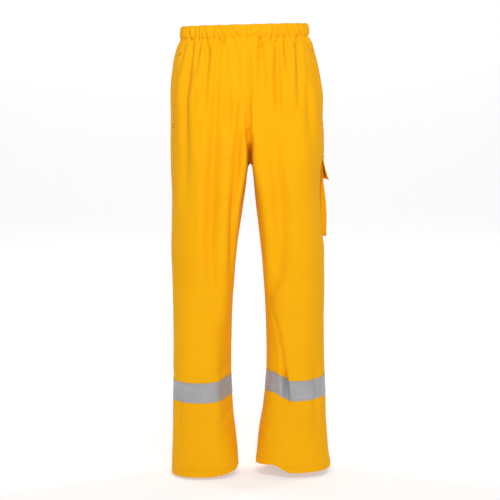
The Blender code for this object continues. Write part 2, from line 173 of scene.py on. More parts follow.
# folds across the cloth: (side, x, height, slope, half length, depth, half width)
CREASES = ((-1, -0.062, 0.268, 0.45, 0.03, 0.0014, 0.01), (-1, -0.05, 0.15, 0.8, 0.036, 0.0012, 0.012),
    (-1, -0.12, 0.052, 0.1, 0.05, 0.0008, 0.01), (1, 0.064, 0.43, 0.25, 0.026, 0.0008, 0.01),
    (1, 0.04, 0.1, -0.5, 0.024, 0.0007, 0.008), (1, 0.036, 0.066, -0.5, 0.024, 0.0007, 0.008),
    (1, 0.052, 1.072, 0.55, 0.016, 0.0011, 0.004), (1, 0.04, 1.065, 0.6, 0.014, 0.0009, 0.004),
    (1, 0.078, 1.074, 0.45, 0.01, 0.0013, 0.0035), (-1, -0.058, 1.073, 0.6, 0.012, 0.0011, 0.0035),
    (-1, -0.122, 1.056, 0.9, 0.014, 0.0009, 0.0045), (-1, -0.02, 1.072, -0.5, 0.012, 0.001, 0.004),
    (1, 0.1, 0.15, -0.35, 0.04, 0.001, 0.014), (1, 0.14, 0.045, 0.2, 0.035, 0.0008, 0.01))
FOLD_GAIN = ((0.50, 1.8), (0.75, 3.0), (1.00, 3.0), (1.06, 2.4))
GATHER_GAIN, BAND_GAIN, TUCK_GAIN = 2.5, 3.0, 1.35
GATHER_FADE = 0.075       # how far below the band the small gathers die out
# where the pleats of the gathered front lie along the waist, by x
FRONT_PLEATS = {
    -1: mm((-10, -35, -49, -62, -75, -92, -102, -111, -122, -130, -138, -144, -150))[0],
    1: mm((5, 18, 37, 51, 66, 85, 92, 99, 107, 113, 122, 130, 138, 146))[0],
}
# larger slanting tucks in the front of the waistband: (x at the stitching, slant, depth, width)
BAND_TUCKS = {
    -1: ((-0.1155, -0.24, 0.0046, 0.0026), (-0.091, -0.16, 0.0038, 0.0024),
         (-0.0505, -0.45, 0.0068, 0.0028), (-0.016, -0.64, 0.006, 0.0028),
         (-0.131, -0.1, 0.0036, 0.0022)),
    1: ((0.0166, -0.33, 0.0062, 0.0026), (0.0187, 1.3, 0.004, 0.003), (0.0878, -0.81, 0.0064, 0.0028),
         (0.098, -0.25, 0.0046, 0.0024), (0.11, -0.2, 0.0038, 0.0022), (0.133, -0.2, 0.0036, 0.0022)),
}
BAND_SEED, BACK_FOLD_SEED = 11, 23


# ---- small numeric helpers ---------------------------------------------------------------
def smoothstep(low, high, value):
    t = np.clip((value - low) / (high - low), 0.0, 1.0)
    return t * t * (3 - 2 * t)


def bell(t):
    return np.exp(-t * t)


def valley(t):
    """Cross-section of a soft fold: a dip of 1 with a low shoulder on each side."""
    return -bell(t) + 0.22 * bell((np.abs(t) - 2.0) / 0.9)


def crease(t):
    """Cross-section of a pressed crease: narrower at the bottom than a soft fold."""
    return -np.exp(-np.abs(t) ** 1.25) + 0.18 * bell((np.abs(t) - 2.4) / 0.9)


def soft_floor(value, floor):
    """Keep value above floor, with a rounded bend."""
    spread = 0.0005
    return floor + spread * np.logaddexp(0.0, (value - floor) / spread)


def knots_at(knots, z, past=0.0):
    """The values at height z of knots listed from top to bottom; None beyond their ends."""
    heights, *columns = zip(*knots[::-1])
    if not heights[0] < z < heights[-1] + past:
        return None
    return [float(np.interp(z, heights, column)) for column in columns]


def spaced(low, high, step):
    return np.linspace(low, high, max(2, int(math.ceil(abs(high - low) / step)) + 1))


class Curve:
    """A (height, value) table made smooth, and read at any height."""

    def __init__(self, table, blur=0.018):
        heights, values = zip(*table)
        step = 0.002
        margin = 3 * blur
        self.z = np.arange(heights[0] - margin, heights[-1] + margin + step, step)
        raw = np.interp(self.z, heights, values)
        # carry the end slopes on, so that blurring doesn't bend the ends
        for end, near, past in ((0, 1, self.z < heights[0]), (-1, -2, self.z > heights[-1])):
            slope = (values[near] - values[end]) / (heights[near] - heights[end])
            raw = np.where(past, values[end] + slope * (self.z - heights[end]), raw)
        reach = int(margin / step)
        kernel = bell(np.arange(-reach, reach + 1) * step / blur / math.sqrt(2))
        padded = np.concatenate([
            2 * raw[0] - raw[reach:0:-1], raw, 2 * raw[-1] - raw[-2:-reach - 2:-1]])
        self.values = np.convolve(padded, kernel / kernel.sum(), mode="valid")

    def __call__(self, z):
        return float(np.interp(z, self.z, self.values))


class Noise:
    """Smooth repeatable value noise over two lengths."""

    def __init__(self, seed, cell_u, cell_v):
        self.grid = np.random.default_rng(seed).uniform(-1.0, 1.0, (64, 64))
        self.cell_u, self.cell_v = cell_u, cell_v

    def __call__(self, u, v):
        a, b = np.asarray(u) / self.cell_u + 1000.3, np.asarray(v) / self.cell_v + 1000.7
        i, j = np.floor(a).astype(int), np.floor(b).astype(int)
        p, q = a - i, b - j
        p, q = p * p * (3 - 2 * p), q * q * (3 - 2 * q)
        i, j = i % 64, j % 64
        k, m = (i + 1) % 64, (j + 1) % 64
        low = self.grid[i, j] * (1 - p) + self.grid[k, j] * p
        high = self.grid[i, m] * (1 - p) + self.grid[k, m] * p
        return low * (1 - q) + high * q


# ---- the trouser surface -----------------------------------------------------------------
class Trousers:
    """The worn surface of both legs and the seat."""

    def __init__(self):
        self.outer, self.inner = Curve(OUTER), Curve(INNER, 0.0022)
        self.front, self.back = Curve(FRONT), Curve(BACK)
        self.power_front, self.power_back = Curve(INNER_POWER_FRONT), Curve(INNER_POWER_BACK)
        self.cleft, self.recess = Curve(CLEFT, 0.005), Curve(CENTRE_RECESS, 0.006)
        self.seam, self.drift = Curve(SIDE_SEAM), Curve(CENTRE_DRIFT, 0.03)
        self.bulge = {1: Curve(LEFT_BULGE, 0.010), -1: Curve(RIGHT_BULGE)}
        self.seam_shift = {1: Curve(LEFT_SEAM_SHIFT), -1: Curve(RIGHT_SEAM_SHIFT)}
        self.rows = {}
        self.wide_noise, self.small_noise = Noise(3, 0.060, 0.110), Noise(5, 0.018, 0.034)
        self.back_folds, self.gathers = self.make_back_folds(), self.make_gathers()

    def row(self, side, z):
        key = (side, round(float(z), 5))
        if key not in self.rows:
            self.rows[key] = Row(self, side, key[1])
        return self.rows[key]

    def make_gathers(self):
        """Pleats that the elastic makes: place along the waist, slant, depth, width and length."""
        rng = np.random.default_rng(BAND_SEED)
        gathers = {}
        for side in (1, -1):
            row = self.row(side, BAND_Z)
            places = [row.front_place(x) for x in FRONT_PLEATS[side]]
            s = max(places) + rng.uniform(0.007, 0.011)
            while s < row.back_end - 0.004:
                places.append(s)
                s += rng.uniform(0.006, 0.0135)
            gathers[side] = []
            for place in places:
                longest = 0.45 if place < 0 else 1.2
                slant, depth = rng.normal(0.0, 0.30), rng.uniform(0.0009, 0.0026)
                width, length = rng.uniform(0.0020, 0.0040), rng.uniform(0.14, longest) * GATHER_FADE
                gathers[side].append((place / row.waist_scale, slant, depth, width, length))
        return gathers

    @staticmethod
    def make_back_folds():
        """Soft folds on the back, which follow the seat and hang down the legs."""
        rng = np.random.default_rng(BACK_FOLD_SEED)
        spans = ((0.80, 1.08, 0.86), (0.62, 1.08, 0.80), (0.40, 1.08, 0.88), (0.20, 1.08, 0.93),
                 (0.78, 0.84, 0.42), (0.52, 0.72, 0.30), (0.62, 0.34, 0.05), (0.40, 0.46, 0.12))
        folds = {1: [], -1: []}
        for side in (1, -1):
            for start, top, bottom in spans:
                share, lean = start + rng.uniform(-0.05, 0.05), rng.uniform(-0.08, 0.08)
                depth, width = rng.uniform(0.0026, 0.0046), rng.uniform(0.009, 0.016)
                folds[side].append((share, lean, top, bottom, depth, width))
        return folds

    def relief(self, row, s):
        """How far the cloth stands out from the plain tube at places s of one row."""
        out = self.front_folds(row, s) + self.step(row, s)
        out = out + self.seat_folds(row, s) + self.waist_gathers(row, s)
        quiet = 1.0 - 0.6 * float(smoothstep(0.9, 1.0, row.z))
        level = np.full_like(s, row.z)
        out += 0.0016 * self.wide_noise(s + 3.0 * row.side, level) * quiet
        out += 0.00035 * self.small_noise(s + 7.0 * row.side, level)
        # both pieces of a seam have to lie at the same height
        sewn = smoothstep(0.0, 0.012, row.from_ends(s))
        out = (out + self.hem_relief(row, s)) * sewn
        return out + self.seam_relief(row, s) + self.centre_recess(row, s)

    @staticmethod
    def front_folds(row, s):
        out = np.zeros_like(s)
        gain = float(np.interp(row.z, *zip(*FOLD_GAIN)))
        for fold in FOLDS[row.side]:
            knots = knots_at(fold, row.z, 0.004)
            if knots:
                x, depth, width = knots
                calm = 0.35 + 0.65 * float(smoothstep(0.0, 0.030, BAND_Z - row.z))
                width *= 1 + 0.35 * float(smoothstep(0.93, 1.0, row.z))
                out += gain * calm * depth * valley((s - row.front_place(x)) / width)
        for side, x, height, slope, half_length, depth, half_width in CREASES:
            if side == row.side and abs(row.z - height) <= 0.10:
                along = row.x_of(s) - x
                off = (row.z - height) - slope * along
                fade = bell(along / half_length) * (s < row.seam)
                out += gain * depth * fade * valley(off / half_width)
        return out

    def seat_folds(self, row, s):
        out = np.zeros_like(s)
        for share, lean, top, bottom, depth, width in self.back_folds[row.side]:
            if bottom < row.z < top:
                middle = (top - row.z) / (top - bottom)
                strength = depth * math.sin(math.pi * min(1.0, middle * 0.85 + 0.15)) ** 0.8
                centre = row.back_place((share + lean * middle) * row.outer)
                out += strength * smoothstep(0.02, 0.07, s) * valley((s - centre) / width)
        return out

    def waist_gathers(self, row, s):
        out = np.zeros_like(s)
        if BAND_Z - row.z < 3 * GATHER_FADE:
            below = max(BAND_Z - row.z, 0.0)
            for place, slant, depth, width, length in self.gathers[row.side]:
                centre = (place + slant * below * 0.5) * row.waist_scale
                spread = width * (1 + below / 0.024)
                strength = GATHER_GAIN * depth * math.exp(-(below / length) ** 1.2)
                out += strength * valley((s - centre) / spread)
        return out

    def centre_recess(self, row, s):
        """The front falls back where it runs down into the crotch."""
        if not CENTRE_RECESS[0][0] < row.z < CENTRE_RECESS[-2][0]:
            return 0.0
        near, far = (0.0046, 0.0080) if row.side > 0 else (0.004, 0.027)
        shape = 1 - smoothstep(near, far, s - row.front_end)
        return -self.recess(row.z) * shape * row.facing(s)

    @staticmethod
    def step(row, s):
        """The inner front of the calf is set back, and meets the rest at a crease."""
        knots = knots_at(STEPS[row.side], row.z)
        if not knots:
            return 0.0
        x, depth, width = knots
        if row.side > 0:
            inside = width * np.logaddexp(0.0, (x - row.x_of(s)) / width)
            return -depth * inside * row.facing(s)
        behind = 1 - smoothstep(-width, width, s - row.front_place(x))
        return -depth * behind * smoothstep(0.004, 0.034, s - row.front_end)

    @staticmethod
    def hem_relief(row, s):
        """The turned-up hem is a little thicker, and puckers along its stitching."""
        if row.z > 0.05:
            return 0.0
        above = row.z - HEM_HEIGHT
        thicker = 0.0007 * (1 - smoothstep(-0.001, 0.0015, above))
        pucker = 0.0004 * np.sin(s * 410 + 3 * np.sin(s * 61)) * bell(above / 0.008)
        groove = -0.0005 * bell(above / 0.0013)
        wave = 0.0022 * np.sin(s * 23.0 + 1.3 * row.side) * (1 - smoothstep(0.0, 0.05, row.z))
        return thicker + pucker + groove + wave

    @staticmethod
    def seam_relief(row, s):
        """The felled side seam and inseam: a raised strip with a line on one side."""
        past = s - row.seam
        out = 0.0006 * (smoothstep(-0.001, 0.0006, past) - smoothstep(0.0095, 0.011, past))
        out = out - 0.0006 * bell(past / 0.0014)
        front, back = s - row.front_end, row.back_end - s
        if row.z < CROTCH_Z:
            out = out + 0.0005 * (1 - smoothstep(0.009, 0.0105, back))
            return out - 0.0007 * (bell(front / 0.0016) + bell(back / 0.0016))
        return out - 0.0005 * (bell(front / 0.0020) + bell(back / 0.0020))


class Row:
    """The plain outline of one leg tube at one height."""

    def __init__(self, body, side, z):
        self.side, self.z = side, z
        outer = body.outer(z) + body.bulge[side](z)
        outer -= WAIST_PINCH * float(smoothstep(1.066, 1.088, z))
        inner, power = body.inner(z), body.power_front(z)
        front_inner = body.cleft(z) if z > CLEFT_START else inner
        cut = float(np.interp(z, *zip(*CLEFT_DEPTH))) if z < CLEFT_TOP else 0.0
        front = self.half(outer, front_inner, body.front(z), OUTER_POWER_FRONT, power, cut)
        if z <= CROTCH_Z + 0.002 and cut == 0.0:
            # the front's inner wall runs back to meet the back's at the inseam
            wall = (front[0] < (outer + front_inner) / 2) * (1 - smoothstep(0.0, 0.035, front[1]))
            front = (front[0] + (max(inner, 0.0) - front_inner) * wall, front[1])
        back = self.half(outer, inner, body.back(z), OUTER_POWER_BACK, body.power_back(z), 0.0)
        x = np.concatenate([front[0][::-1], back[0][1:]])
        y = np.concatenate([-front[1][::-1], back[1][1:]])
        s = np.concatenate([[0.0], np.cumsum(np.hypot(np.diff(x), np.diff(y)))])
        self.s = s = s - s[len(front[0]) - 1]
        self.front_end, self.back_end = s[0], s[-1]
        normal_x, normal_y = np.gradient(y, s), -np.gradient(x, s)
        if z > CROTCH_Z:
            # where the two sides are sewn together, folds only move the cloth forwards or back
            normal_x = normal_x * smoothstep(0.0, 0.006, self.from_ends(s))
        size = np.hypot(normal_x, normal_y)
        self.normal_x, self.normal_y = side * normal_x / size, normal_y / size
        self.outer = outer
        self.world_x = side * x + body.drift(z) * (1 - x / outer) - MIDDLE_X
        self.world_y = y - MIDDLE_Y
        self.plain_back_x, self.plain_back_s = x[s >= 0], s[s >= 0]
        self.wall = self.wall_length(x, outer, front_inner, power)
        self.seam = body.seam_shift[side](z) - body.seam(z)
        self.waist_scale = self.back_end / HALF_WAIST_GIRTH
        half_width = (outer - max(inner, 0.0)) / 2
        across = (x - outer + half_width) / half_width
        deep = y / np.where(y < 0, body.front(z), body.back(z))
        self.lift = self.lifted(x, across, deep)

    def lifted(self, x, across, deep):
        """How far each point is pulled up by the way that the cloth hangs."""
        fade = 1 - float(smoothstep(LIFT_FULL_Z, LIFT_NONE_Z, self.z))
        hem_fade = 1 - float(smoothstep(0.0, HEM_LIFT_TOP, self.z))
        lifts = [a * fade + b * hem_fade for a, b in zip(LIFT[self.side], HEM_LIFT[self.side])]
        weights = [np.maximum(way, 0) ** 2 for way in (across, -deep, -across, deep)]
        lift = sum(w * amount for w, amount in zip(weights, lifts)) / sum(weights)
        if self.side > 0:
            inside = 1 - smoothstep(0.058, 0.104, x)
            lift = lift + CALF_STEP * fade * inside * (1 - smoothstep(0.0, 0.8, deep))
        return lift + float(smoothstep(0.86, 1.06, self.z)) * waist_tilt(self.world_x)

    def wall_length(self, x, outer, inner, power):
        """How far the front runs round from its inner corner to its end, at least a few centimetres."""
        corner_x = (outer + inner) / 2 - (outer - inner) / 2 * 2 ** (-1 / power)
        front = (self.s < 0) & (x < max(corner_x, 0.0))
        length = float(self.s[front][-1] - self.s[0]) if front.any() else 0.0
        return 0.03 + 0.01 * math.log1p(math.exp((length - 0.03) / 0.01))

    def front_columns(self, last):
        """Places from the inner end to `last`; a fixed share of them lies on the inner wall."""
        corner = self.front_end + self.wall
        ends = (self.front_end, corner, last)
        return np.interp(np.linspace(0.0, 1.0, PANEL_COLUMNS + 1), (0.0, WALL_COLUMNS, 1.0), ends)

    @staticmethod
    def quarter(power, count=160):
        """A quarter of a rounded square, evenly spaced, from the middle of one side to the next."""
        corner = 2 ** (-1 / power)
        first = np.linspace(0.0, corner, count)
        second = np.linspace(corner, 0.0, count)[1:]
        across = np.concatenate([first, (1 - second ** power) ** (1 / power)])
        deep = np.concatenate([(1 - first ** power) ** (1 / power), second])
        return across, deep

    @classmethod
    def half(cls, outer, inner, depth, outer_power, inner_power, cut):
        """Half the outline, from the outer side to the inner one; cut closes it at that depth."""
        gap = -0.0003
        half_width, centre = (outer - inner) / 2, (outer + inner) / 2
        out_across, out_deep = cls.quarter(outer_power)
        in_across, in_deep = cls.quarter(inner_power)
        x = centre + half_width * np.concatenate([out_across[::-1], -in_across[1:]])
        y = depth * np.concatenate([out_deep[::-1], in_deep[1:]])
        if inner < gap:
            last_y = float(np.interp(gap, x[::-1], y[::-1]))
            kept = x > gap
            x, y = np.append(x[kept], gap), np.append(y[kept], last_y)
        past = (x < centre) & (y < cut)
        if past.any():
            first = int(np.argmax(past))
            share = np.linspace(0.0, 1.0, 12)
            x = np.concatenate([x[:first], x[first] + (gap - x[first]) * share])
            y = np.concatenate([y[:first], y[first] - 0.004 * share ** 2])
        return x, y

    def from_ends(self, s):
        return np.minimum(s - self.front_end, self.back_end - s)

    def x_of(self, s):
        """World x of places s, before the part is centred."""
        return np.interp(s, self.s, self.world_x) + MIDDLE_X

    def facing(self, s):
        """1 where the cloth faces straight forward, 0 where it faces sideways or back."""
        return np.clip(-np.interp(s, self.s, self.normal_y), 0.0, 1.0)

    def front_place(self, x):
        """The place on the front at which the outline has this x."""
        front = self.s <= 0
        x_front = self.side * (self.world_x[front] + MIDDLE_X)
        return float(np.interp(self.side * x, x_front, self.s[front]))

    def back_place(self, x):
        """The place on the back at which the plain outline has this x."""
        return float(np.interp(-x, -self.plain_back_x, self.plain_back_s))

    def points(self, s, out):
        """World points at places s, `out` beyond the plain outline."""
        x = np.interp(s, self.s, self.world_x) + out * np.interp(s, self.s, self.normal_x)
        y = np.interp(s, self.s, self.world_y) + out * np.interp(s, self.s, self.normal_y)
        return np.stack([x, y, self.z + np.interp(s, self.s, self.lift)], axis=-1)

    def point(self, s, out=0.0, relief=1.0):
        """One world point, `out` beyond the cloth, with a share of its relief."""
        s = np.array([float(s)])
        return self.points(s, relief * BODY.relief(self, s) + out)[0]

    def normal(self, s):
        """Outward direction of the cloth at one place."""
        return np.array([np.interp(s, self.s, self.normal_x), np.interp(s, self.s, self.normal_y), 0.0])


def waist_tilt(x):
    """How much higher the waist sits at this world x."""
    return WAIST_TILT * x / HALF_WAIST


BODY = Trousers()


# ---- meshes ------------------------------------------------------------------------------
def make_object(name, vertices, faces, uvs=None, sharp=50.0):
    """A smooth mesh object from points and quad or triangle faces, with a UV for each vertex."""
    mesh = bpy.data.meshes.new(name)
    vertices = np.asarray(vertices, dtype=float).reshape(-1, 3)
    mesh.from_pydata(vertices.tolist(), [], [tuple(int(i) for i in f) for f in faces])
    if uvs is not None:
        layer = mesh.uv_layers.new(name="UVMap")
        loops = np.empty(len(mesh.loops), dtype=np.int32)
        mesh.loops.foreach_get("vertex_index", loops)
        layer.data.foreach_set("uv", np.asarray(uvs, dtype=float).reshape(-1, 2)[loops].ravel())
    mesh.shade_smooth()
    mesh.set_sharp_from_angle(angle=math.radians(sharp))
    mesh.validate()
    mesh.update()
    obj = bpy.data.objects.new(name, mesh)
    bpy.context.scene.collection.objects.link(obj)
    return obj


def grid_faces(rows, columns, first, flip):
    base = first + np.arange(rows - 1)[:, None] * columns + np.arange(columns - 1)[None, :]
    quads = np.stack([base, base + 1, base + columns + 1, base + columns], axis=-1).reshape(-1, 4)
    return quads[:, ::-1] if flip else quads


def sheet(name, outer, inner, uv, flip=False, sharp=50.0):
    """A closed sheet of cloth between two grids of points with the same shape."""
    outer, inner = np.asarray(outer), np.asarray(inner)
    rows, columns = outer.shape[:2]
    count = rows * columns
    faces = [grid_faces(rows, columns, 0, flip), grid_faces(rows, columns, count, not flip)]
    index = np.arange(count).reshape(rows, columns)
    for edge in (index[0, :], index[-1, ::-1], index[::-1, 0], index[:, -1]):
        a, b = edge[:-1], edge[1:]
        quad = np.stack([a, a + count, b + count, b], axis=-1)
        faces.append(quad[:, ::-1] if flip else quad)
    uv = np.asarray(uv).reshape(-1, 2)
    points = np.concatenate([outer.reshape(-1, 3), inner.reshape(-1, 3)])
    return make_object(name, points, np.concatenate(faces), np.concatenate([uv, uv]), sharp=sharp)


def cloth_sheet(name, lines, flip=False):
    """A sheet from (row, s, out of the face, out of the back) lines; its UVs are s and height."""
    outer = [row.points(s, out) for row, s, out, _ in lines]
    inner = [row.points(s, out) for row, s, _, out in lines]
    uv = [np.stack([s, np.full_like(s, row.z)], axis=-1) for row, s, _, _ in lines]
    return sheet(name, outer, inner, uv, flip=flip)


def ring(name, loops, along, across, flip):
    """A band whose cross-section is the list of loops; loops and the cross-section both close."""
    loops = np.asarray(loops)
    sections, around = loops.shape[:2]
    i, j = np.arange(sections)[:, None], np.arange(around)[None, :]
    here, there = i * around, ((i + 1) % sections) * around
    ahead = (j + 1) % around
    quads = np.stack([here + j, here + ahead, there + ahead, there + j], axis=-1).reshape(-1, 4)
    uv = np.stack([np.tile(along, (sections, 1)), np.tile(across[:, None], (1, around))], axis=-1)
    return make_object(name, loops.reshape(-1, 3), quads[:, ::-1] if flip else quads, uv)


# ---- stitches ----------------------------------------------------------------------------
ON_CLOTH = 0.0002         # seam stitches start this far out of the cloth
STITCH_SINK = 0.0003      # and reach this far into it
CLOSE_PITCH = 0.0036


class Thread:
    """Collects short raised stitches, and makes them one piece."""

    def __init__(self):
        self.vertices, self.faces = [], []

    def stitch(self, middle, along, normal, length, width=0.0007, height=0.0003):
        along, normal = along / np.linalg.norm(along), normal / np.linalg.norm(normal)
        across = np.cross(normal, along)
        first = len(self.vertices)
        sunk = -normal * STITCH_SINK
        self.vertices.append(middle - along * length / 2 + sunk)
        for share in (-0.25, 0.25):
            for a, b in ((0.5, 0.0), (0.28, 0.8), (-0.28, 0.8), (-0.5, 0.0)):
                corner = middle + along * length * share + across * a * width
                self.vertices.append(corner + normal * (b * height) + sunk * (b == 0))
        self.vertices.append(middle + along * length / 2 + sunk)
        for k in range(first, first + 3):
            self.faces += [(first, k + 2, k + 1), (k + 1, k + 2, k + 6, k + 5)]
            self.faces.append((k + 5, k + 6, first + 9))
        self.faces.append((first, first + 1, first + 5, first + 9))
        self.faces.append((first, first + 9, first + 8, first + 4))

    def run(self, points, normals, pitch=0.0042, length=0.0029):
        """Stitches at an even pitch along a line of points."""
        points, normals = np.asarray(points), np.asarray(normals)
        reach = running_length(points)
        places = np.arange(pitch / 2, reach[-1], pitch * (1))

        def read(at, values):
            return np.stack([np.interp(at, reach, values[:, i]) for i in range(3)], axis=-1)

        ahead, behind = read(places + length / 2, points), read(places - length / 2, points)
        for middle, along, normal in zip(read(places, points), ahead - behind, read(places, normals)):
            if np.linalg.norm(along) > 1e-6:
                self.stitch(middle, along, normal, length)

    def follow(self, track, **sizes):
        """Stitches through places on the cloth: (row, s, how far beyond it)."""
        points = [row.point(s, out) for row, s, out in track]
        self.run(points, [row.normal(s) for row, s, _ in track], **sizes)

    def build(self, name, material, *nodes, body="trousers"):
        obj = make_object(name, self.vertices, self.faces, sharp=75.0)
        dress(obj, material, body, "bartack_thread", *nodes)


def running_length(points):
    steps = np.linalg.norm(np.diff(points, axis=0), axis=1)
    return np.concatenate([[0.0], np.cumsum(steps)])


# ---- materials ---------------------------------------------------------------------------
def new_material(name):
    material = bpy.data.materials.new(name)
    material.use_nodes = True
    return material, material.node_tree, material.node_tree.nodes["Principled BSDF"]


def set_inputs(made, **inputs):
    for key, value in inputs.items():
        made.inputs[key.replace("_", " ")].default_value = value


def node(tree, kind, links=(), **inputs):
    """A shader node with its inputs set, and linked by (input, socket) pairs."""
    made = tree.nodes.new("ShaderNode" + kind)
    set_inputs(made, **inputs)
    for key, socket in links:
        tree.links.new(socket, made.inputs[key])
    return made


def finish_shader(tree, shader, colour, normal=None, **inputs):
    tree.links.new(colour, shader.inputs["Base Color"])
    if normal is not None:
        tree.links.new(normal, shader.inputs["Normal"])
    set_inputs(shader, **inputs)


def texture(tree, kind, **inputs):
    where = node(tree, "TexCoord")
    return node(tree, kind, [("Vector", where.outputs["Object"])], **inputs)


def ramp(tree, factor, *stops):
    """Colours at (place, colour) stops along the factor."""
    made = node(tree, "ValToRGB", [("Fac", factor)])
    for element, (place, colour) in zip(made.color_ramp.elements, stops):
        element.position = place
        element.color = (*colour, 1.0)
    return made.outputs["Color"]


def bump(tree, height, strength, distance, under=None):
    links = [("Height", height)] + ([("Normal", under)] if under else [])
    return node(tree, "Bump", links, Strength=strength, Distance=distance).outputs["Normal"]


def weave_height(tree, pitch, twill=True):
    """Height of a fine twill: diagonal ribs crossed by the threads, from UVs in metres."""
    uv = tree.nodes.new("ShaderNodeUVMap")
    uv.uv_map = "UVMap"
    link = [("Vector", uv.outputs["UV"])]
    scale = 1.0 / (pitch * 6.3)
    ribs = node(tree, "TexWave", link, Scale=scale, Distortion=0.6, Detail=1.0, Detail_Scale=2.0)
    ribs.bands_direction = "DIAGONAL" if twill else "X"
    threads = node(tree, "TexWave", link, Scale=scale)
    threads.bands_direction = "Y"
    both = node(tree, "Math", [(0, ribs.outputs["Fac"]), (1, threads.outputs["Fac"])])
    both.operation = "ADD"
    return both.outputs[0]


def cloth_material(name, light, dark, roughness, sheen, pitch=0.0011, strength=0.25):
    """Woven cotton: fine twill, soft crumpling and a slight unevenness of colour."""
    material, tree, shader = new_material(name)
    tone = texture(tree, "TexNoise", Scale=9.0, Detail=5.0, Roughness=0.6).outputs["Fac"]
    fibres = texture(tree, "TexNoise", Scale=420.0, Detail=3.0, Roughness=0.7).outputs["Fac"]
    mixed = node(tree, "Math", [(0, fibres), (2, tone)])
    mixed.operation = "MULTIPLY_ADD"
    mixed.inputs[1].default_value = 0.45
    colour = ramp(tree, mixed.outputs[0], (0.525, dark), (0.875, light))
    crumple = texture(tree, "TexNoise", Scale=70.0, Detail=4.0, Roughness=0.55).outputs["Fac"]
    normal = bump(tree, weave_height(tree, pitch), strength, 0.0003, bump(tree, crumple, 0.22, 0.0016))
    rough = node(tree, "MapRange", [("Value", tone)], To_Min=roughness - 0.06, To_Max=roughness + 0.06)
    tree.links.new(rough.outputs["Result"], shader.inputs["Roughness"])
    finish_shader(tree, shader, colour, normal, Sheen_Weight=sheen, Sheen_Roughness=0.45,
                  Sheen_Tint=(1.0, 0.60, 0.12, 1.0), Specular_IOR_Level=0.08)
    return material


def tape_material():
    """Silver reflective cloth: fine glass beads over a plain weave, slightly mottled."""
    material, tree, shader = new_material("reflective_band")
    mottle = texture(tree, "TexNoise", Scale=28.0, Detail=6.0, Roughness=0.65).outputs["Fac"]
    colour = ramp(tree, mottle, (0.30, (0.37, 0.37, 0.385)), (0.70, (0.45, 0.45, 0.465)))
    beads = texture(tree, "TexVoronoi", Scale=2600.0).outputs["Distance"]
    weave = weave_height(tree, 0.0009, twill=False)
    normal = bump(tree, weave, 0.15, 0.0002, bump(tree, beads, 0.18, 0.0001))
    finish_shader(tree, shader, colour, normal, Metallic=0.25, Roughness=0.52)
    return material


def thread_material(name, colour):
    material, tree, shader = new_material(name)
    twist = texture(tree, "TexNoise", Scale=900.0, Detail=2.0).outputs["Fac"]
    dark, light = [c * 0.78 for c in colour], [min(1.0, c * 1.1) for c in colour]
    finish_shader(tree, shader, ramp(tree, twist, (0.0, dark), (1.0, light)), Roughness=0.7,
                  Specular_IOR_Level=0.15)
    return material


def pile_material(name, colour, scale, depth):
    """Hook or loop tape: a dense nap of small hooks or loops."""
    material, tree, shader = new_material(name)
    nap = texture(tree, "TexVoronoi", Scale=scale).outputs["Distance"]
    shades = ramp(tree, nap, (0.0, colour), (1.0, [c * 0.5 for c in colour]))
    finish_shader(tree, shader, shades, bump(tree, nap, 0.8, depth), Roughness=0.9)
    return material


YELLOW = ((0.968, 0.460, 0.0035), (0.928, 0.427, 0.0025))
SHELL = cloth_material("shell_twill", *YELLOW, 0.80, 0.07)
BAND = cloth_material("waistband_twill", *YELLOW, 0.82, 0.07)
FACING = cloth_material("facing_twill", (0.90, 0.43, 0.035), (0.84, 0.38, 0.025), 0.82, 0.30)
BAGGING = cloth_material("pocketing_cotton", (0.74, 0.56, 0.27), (0.66, 0.49, 0.22), 0.88, 0.2,
                         0.0008)
ELASTIC = cloth_material("knitted_elastic", (0.82, 0.80, 0.74), (0.70, 0.68, 0.62), 0.85, 0.2,
                         0.0022, 0.6)
TAPE = tape_material()
THREAD = thread_material("yellow_thread", (0.86, 0.40, 0.02))
BARTACK = thread_material("bartack_orange_thread", (0.74, 0.30, 0.02))
GREY_THREAD = thread_material("grey_thread", (0.40, 0.39, 0.38))
# The hook tape's dark reddish brown is partly its own colour and partly painted shade from under the
# flap.
HOOK_NAP_PAINTED_SHADE = pile_material("hook_nap_painted_shade", (0.60, 0.22, 0.03), 900.0, 0.0006)
LOOPS = pile_material("loop_nap", (0.66, 0.38, 0.05), 520.0, 0.0008)


def dress(obj, material, body, slot, *nodes):
    """Give a finished piece its material and its body, and hide the CAD nodes that it stands for. The
    slot is not used.
    """
    obj.data.materials.append(material)
    if body:
        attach(obj, body)
    if nodes:
        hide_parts(*nodes)


# ---- leg panels --------------------------------------------------------------------------
def slit_share(z):
    """How far up the side slit z is; 0 beyond its ends."""
    share = (z - SLIT_BOTTOM) / (SLIT_TOP - SLIT_BOTTOM)
    return share if 0 < share < 1 else 0.0


def slit_edge(row):
    """The front edge of the slit stands a little forward of the seam."""
    return row.seam - 0.0040 * math.sin(math.pi * slit_share(row.z))


def slit_lift(row, s):
    """The free front edge of a slit curls outward a little."""
    return 0.0034 * math.sin(math.pi * slit_share(row.z)) * bell((slit_edge(row) - s) / 0.008)


def panel_heights():
    """Row heights: close together near the hem, the crotch and the waist."""
    marks = [0.0]
    top = BAND_Z + 0.008
    while marks[-1] < top - 1e-6:
        z = marks[-1]
        fine = z < 0.030 or 0.764 < z < 0.784 or z > 0.985
        marks.append(min(top, z + (FINE_STEP * 1.25 if fine else PANEL_ROW)))
    return marks


def leg_panel(node_name, side, front):
    lines = []
    share = np.linspace(0.0, 1.0, PANEL_COLUMNS + 1)
    for z in panel_heights():
        row = BODY.row(side, z)
        if front:
            s = row.front_columns(slit_edge(row))
            out = BODY.relief(row, s) + slit_lift(row, s)
        else:
            s = row.seam + share * (row.back_end - row.seam)
            out = BODY.relief(row, s)
        lines.append((row, s, out, out - CLOTH - 0.0006 * (z < HEM_HEIGHT)))
    obj = cloth_sheet(node_name + "_cloth", lines, flip=side < 0)
    dress(obj, SHELL, "trousers", "shell_cloth", node_name)


